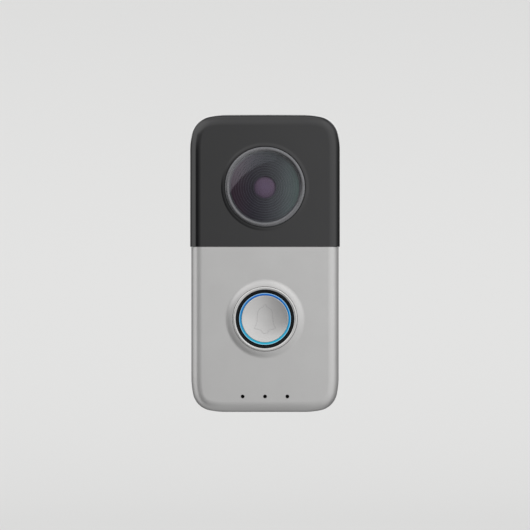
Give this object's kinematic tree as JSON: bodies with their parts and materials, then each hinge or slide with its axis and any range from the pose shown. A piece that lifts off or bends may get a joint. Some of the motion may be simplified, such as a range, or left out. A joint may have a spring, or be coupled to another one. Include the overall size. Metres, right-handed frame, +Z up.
{
  "type": "video doorbell",
  "caption": "Wall-mounted video doorbell with a camera under a dark cover, a lit push button in a metal faceplate, and a lift-off wall plate.",
  "frame": {"origin": "centre of the wall plate's four screw holes, on the wall", "axes": "+Z up, +X to the right of a visitor who faces the doorbell, +Y into the wall"},
  "size_m": [0.0632, 0.028, 0.1255],
  "materials": {
    "smoked_plastic": "polished dark cover, clear to infrared",
    "satin_nickel": "bead-blasted, satin nickel colour",
    "polished_nickel": "fine satin, nickel colour",
    "grey_silicone": "soft moulded seal",
    "bezel_metal": "dark anodised, satin",
    "black_plastic": "fine moulded texture",
    "dark_nylon": "glass-filled nylon",
    "anti_glare_black": "stepped, with an anti-glare coat",
    "coated_glass": "polished, violet coating",
    "clear_glass": "polished, coated",
    "filter_glass": "coated, blue-green",
    "light_guide": "milky light guide",
    "black_rubber": "soft matt",
    "grey_foam": "closed-cell foam",
    "adhesive_film": "clear film with adhesive",
    "steel": "plated",
    "nickel_silver": "bright rolled sheet",
    "brass": "turned",
    "circuit_board": "solder mask over glass laminate",
    "chip_resin": "moulded resin",
    "component_ceramic": "fired ceramic",
    "ribbon_film": "polyimide film",
    "battery_wrap": "printed shrink wrap",
    "antenna_foil": "gold-coloured foil",
    "lead_sleeve": "sleeved wire",
    "orange_plastic": "moulded",
    "fine_mesh": "woven wire, blackened",
    "lamp_resin": "clear resin"
  },
  "bodies": {
    "wall_mount": {"wall_plate": "dark_nylon"},
    "doorbell": {"rear_cover": "black_plastic", "security_screw": "steel", "security_insert": "brass", "housing_screws": "steel", "housing_seal": "black_rubber", "front_frame": "black_plastic", "camera_cover": "smoked_plastic", "faceplate": "satin_nickel", "camera_cover_tape": "adhesive_film", "faceplate_tape": "adhesive_film", "lens_bezel": "bezel_metal", "lens_cover_glass": "clear_glass", "lens_gasket": "grey_silicone", "lens_baffle": "anti_glare_black", "lens_front_element": "coated_glass", "lens_barrel": "bezel_metal", "lens_inner_elements": "clear_glass", "infrared_cut_filter": "filter_glass", "lens_holder": "black_plastic", "camera_screws": "steel", "camera_board": "circuit_board", "image_sensor": "chip_resin", "camera_ribbon": "ribbon_film", "infrared_board": "circuit_board", "infrared_lamps": "lamp_resin", "light_sensor": "lamp_resin", "button_trim_ring": "polished_nickel", "button_seal": "black_rubber", "button_switch": "steel", "button_lamps": "lamp_resin", "main_board": "circuit_board", "board_screws": "steel", "board_shields": "nickel_silver", "board_chips": "chip_resin", "board_components": "component_ceramic", "microphones": "nickel_silver", "microphone_gasket": "black_rubber", "microphone_mesh": "fine_mesh", "speaker": "black_plastic", "speaker_gasket": "grey_foam", "speaker_mesh": "fine_mesh", "power_board": "circuit_board", "board_link": "chip_resin", "charging_socket": "nickel_silver", "terminal_posts": "brass", "terminal_screws": "steel", "setup_switch": "steel", "battery_cell": "battery_wrap", "battery_pad": "grey_foam", "battery_leads": "lead_sleeve", "antenna": "antenna_foil", "antenna_lead": "black_rubber"},
    "button": {"button_cap": "polished_nickel", "light_ring": "light_guide", "button_actuator": "black_plastic"},
    "switch_plunger": {"button_plunger": "black_plastic"},
    "setup_key": {"setup_button": "orange_plastic"},
    "setup_key_plunger": {"setup_plunger": "black_plastic"}
  },
  "joints": [
    {"name": "unit_lift", "type": "slide", "parent": "wall_mount", "child": "doorbell", "axis": [0, 0, 1], "range_m": [0, 0.006]},
    {"name": "button_press", "type": "slide", "parent": "doorbell", "child": "button", "axis": [0, 1, 0], "range_m": [0, 0.0008], "stiffness_N_per_m": 1500, "springref_m": -0.0004},
    {"name": "switch_press", "type": "slide", "parent": "doorbell", "child": "switch_plunger", "axis": [0, 1, 0], "range_m": [0, 0.0008]},
    {"name": "setup_press", "type": "slide", "parent": "doorbell", "child": "setup_key", "axis": [0, -1, 0], "range_m": [0, 0.0004], "stiffness_N_per_m": 1500, "springref_m": -0.0004},
    {"name": "setup_switch_press", "type": "slide", "parent": "doorbell", "child": "setup_key_plunger", "axis": [0, -1, 0], "range_m": [0, 0.0004]}
  ],
  "couplings": [
    {"joint": "switch_press", "follows": "button_press", "ratio": 1},
    {"joint": "setup_switch_press", "follows": "setup_press", "ratio": 1}
  ]
}
